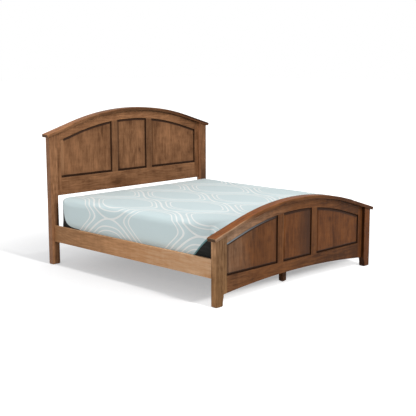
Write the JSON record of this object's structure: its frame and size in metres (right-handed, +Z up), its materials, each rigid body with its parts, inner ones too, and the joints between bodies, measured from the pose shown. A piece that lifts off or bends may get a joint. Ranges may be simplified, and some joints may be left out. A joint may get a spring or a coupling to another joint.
{
  "type": "wooden bed",
  "caption": "Wooden bed with an arched, panelled headboard and footboard on square posts, side rails, slats and a thick quilted mattress.",
  "frame": {"origin": "on the floor, midway across and midway along the bed", "axes": "+Z up from the floor, +Y from the foot to the head, +X to the right of someone who looks from the foot to the head"},
  "size_m": [2.128, 2.262, 1.4508],
  "materials": {
    "head_wood": "satin lacquered hardwood, mid brown",
    "foot_wood": "satin lacquered hardwood, dark brown",
    "rail_wood": "satin lacquered hardwood, light brown",
    "slat_wood": "planed, unfinished softwood",
    "steel": "zinc plated",
    "cover": "woven knit cover, pale blue-grey with dark grey corners"
  },
  "bodies": {
    "frame": {"head_post_left": "head_wood", "head_post_right": "head_wood", "foot_post_left": "foot_wood", "foot_post_right": "foot_wood", "head_cap": "head_wood", "foot_cap": "foot_wood", "head_top_rail": "head_wood", "foot_top_rail": "foot_wood", "head_bottom_rail": "head_wood", "foot_bottom_rail": "foot_wood", "head_stile_left": "head_wood", "head_stile_right": "head_wood", "foot_stile_left": "foot_wood", "foot_stile_right": "foot_wood", "head_mullion_left": "head_wood", "head_mullion_right": "head_wood", "foot_mullion_left": "foot_wood", "foot_mullion_right": "foot_wood", "head_panel_left": "head_wood", "head_panel_centre": "head_wood", "head_panel_right": "head_wood", "foot_panel_left": "foot_wood", "foot_panel_centre": "foot_wood", "foot_panel_right": "foot_wood", "side_rail_left": "rail_wood", "side_rail_right": "rail_wood", "cleat_left": "slat_wood", "cleat_right": "slat_wood", "slat_1": "slat_wood", "slat_2": "slat_wood", "slat_3": "slat_wood", "slat_4": "slat_wood", "slat_5": "slat_wood", "slat_6": "slat_wood", "slat_7": "slat_wood", "slat_8": "slat_wood", "slat_9": "slat_wood", "slat_10": "slat_wood", "slat_11": "slat_wood", "slat_12": "slat_wood", "centre_beam": "slat_wood", "centre_leg_1": "foot_wood", "centre_leg_2": "foot_wood", "centre_leg_3": "foot_wood", "rail_hook_plates": "steel", "post_slot_plates": "steel", "plate_screws": "steel", "cleat_screws": "steel", "slat_screws": "steel", "leg_bolts": "steel"},
    "mattress": {"mattress": "cover"}
  },
  "joints": [
    {"name": "mattress_lift", "type": "slide", "parent": "frame", "child": "mattress", "axis": [0, 0, 1], "range_m": [0, 0.45]}
  ]
}
